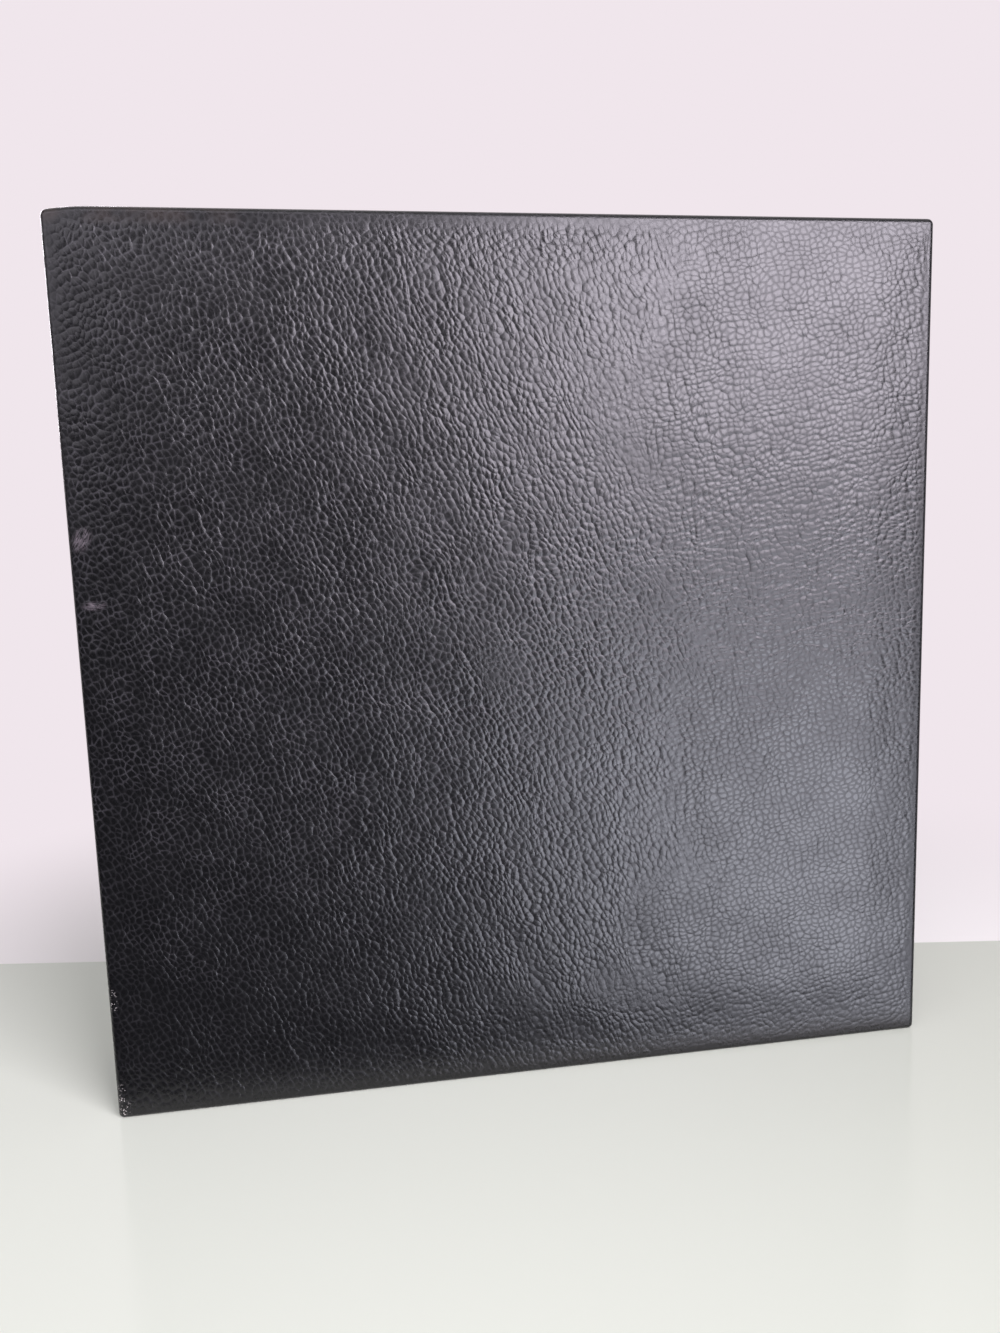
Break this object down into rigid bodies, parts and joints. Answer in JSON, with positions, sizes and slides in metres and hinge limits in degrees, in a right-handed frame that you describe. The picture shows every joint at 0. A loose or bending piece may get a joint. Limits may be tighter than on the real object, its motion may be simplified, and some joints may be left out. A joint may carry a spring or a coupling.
{
  "type": "clamshell storage box",
  "caption": "Book-style leather storage box: padded cover and spine on leather joints, with a lid tray that closes over a base tray for papers and keepsakes.",
  "frame": {"origin": "on the floor below the middle of the closed box, which stands on its tail edges", "axes": "+Z from tail to head, +X from the spine to the fore edge, -Y out of the front cover"},
  "size_m": [0.3, 0.056, 0.304],
  "materials": {
    "pebbled_leather": "black tumbled hide with a soft semi-gloss finish",
    "tray_leather": "thin smooth black skiver, satin",
    "greyboard": "dense grey binder's board, matt",
    "wadding": "thin cotton wadding",
    "case_lining": "black bookcloth, matt",
    "tray_lining": "charcoal suede cloth with a short nap",
    "magnet": "nickel-plated magnet",
    "keeper_steel": "plain mild steel",
    "ribbon": "black satin ribbon"
  },
  "bodies": {
    "base": {"back_leather": "pebbled_leather", "back_board": "greyboard", "back_lining": "case_lining", "base_tray_floor": "greyboard", "base_tray_head_wall": "greyboard", "base_tray_tail_wall": "greyboard", "base_tray_fore_edge_wall": "greyboard", "base_tray_spine_wall": "greyboard", "base_tray_covering": "tray_leather", "base_tray_lining": "tray_lining", "tray_magnets": "magnet", "lifting_ribbon": "ribbon"},
    "spine": {"spine_leather": "pebbled_leather", "spine_board": "greyboard", "spine_lining": "case_lining", "back_joint_leather": "pebbled_leather", "back_joint_lining": "case_lining", "front_joint_leather": "pebbled_leather", "front_joint_lining": "case_lining"},
    "cover": {"front_leather": "pebbled_leather", "front_padding": "wadding", "front_board": "greyboard", "front_lining": "case_lining", "lid_tray_floor": "greyboard", "lid_tray_head_wall": "greyboard", "lid_tray_tail_wall": "greyboard", "lid_tray_fore_edge_wall": "greyboard", "lid_tray_covering": "tray_leather", "lid_tray_lining": "tray_lining", "lid_keepers": "keeper_steel"}
  },
  "joints": [
    {"name": "spine_hinge", "type": "hinge", "parent": "base", "child": "spine", "pos_m": [-0.14918, 0.02718, 0], "axis": [0, 0, -1], "range_deg": [0, 90], "deforming": ["back_joint_leather", "back_joint_lining"]},
    {"name": "cover_hinge", "type": "hinge", "parent": "spine", "child": "cover", "pos_m": [-0.14918, -0.02618, 0], "axis": [0, 0, -1], "range_deg": [0, 90], "deforming": ["front_joint_leather", "front_joint_lining"]}
  ],
  "couplings": [
    {"joint": "cover_hinge", "follows": "spine_hinge", "ratio": 1}
  ]
}
